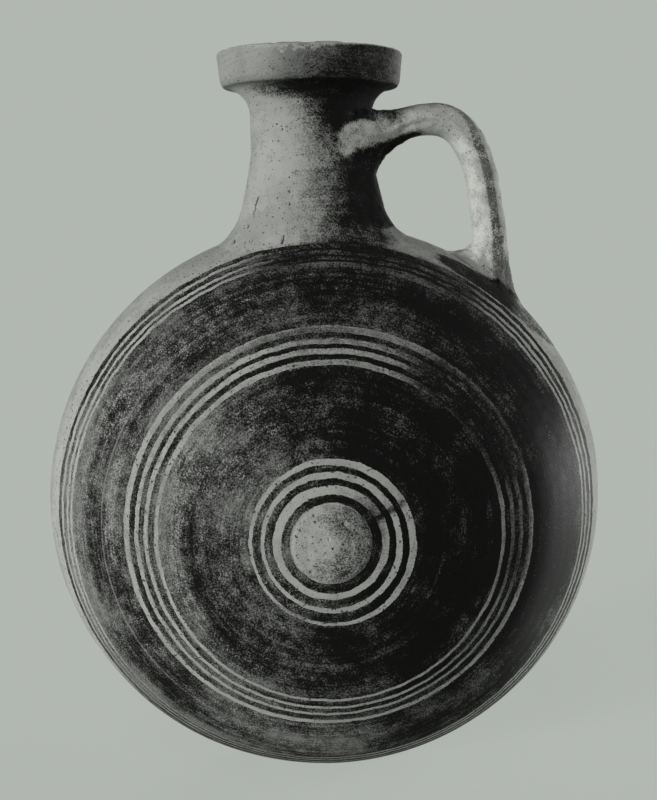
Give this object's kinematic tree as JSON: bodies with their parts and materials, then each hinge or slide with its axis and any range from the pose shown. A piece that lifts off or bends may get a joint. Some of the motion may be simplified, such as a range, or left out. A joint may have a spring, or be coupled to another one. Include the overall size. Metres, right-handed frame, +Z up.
{
  "type": "round jug",
  "caption": "Lens-shaped pottery jug with a collared neck, one handle and painted concentric rings; stands on a small flat.",
  "frame": {"origin": "centre of the bounding box, on the surface that the jug stands on", "axes": "+Z up along the neck, -Y towards the painted front, +X towards the handle"},
  "size_m": [0.23, 0.1504, 0.2943],
  "materials": {
    "painted_clay": "matt dark painted slip over pale clay, with reserved light rings",
    "pale_clay": "matt pale slip, worn and pitted",
    "raw_clay": "unpainted fired clay",
    "neck_clay": "matt pale slip, darker wash on the collar",
    "handle_clay": "matt pale slip with a painted band down the outer side"
  },
  "bodies": {
    "root": {"front_bowl": "painted_clay", "back_bowl": "painted_clay", "front_boss": "pale_clay", "back_boss": "pale_clay", "seam_coil": "raw_clay", "neck": "neck_clay", "neck_base_coil": "neck_clay", "handle": "handle_clay", "handle_upper_wad": "handle_clay", "handle_lower_wad": "handle_clay"}
  },
  "joints": []
}
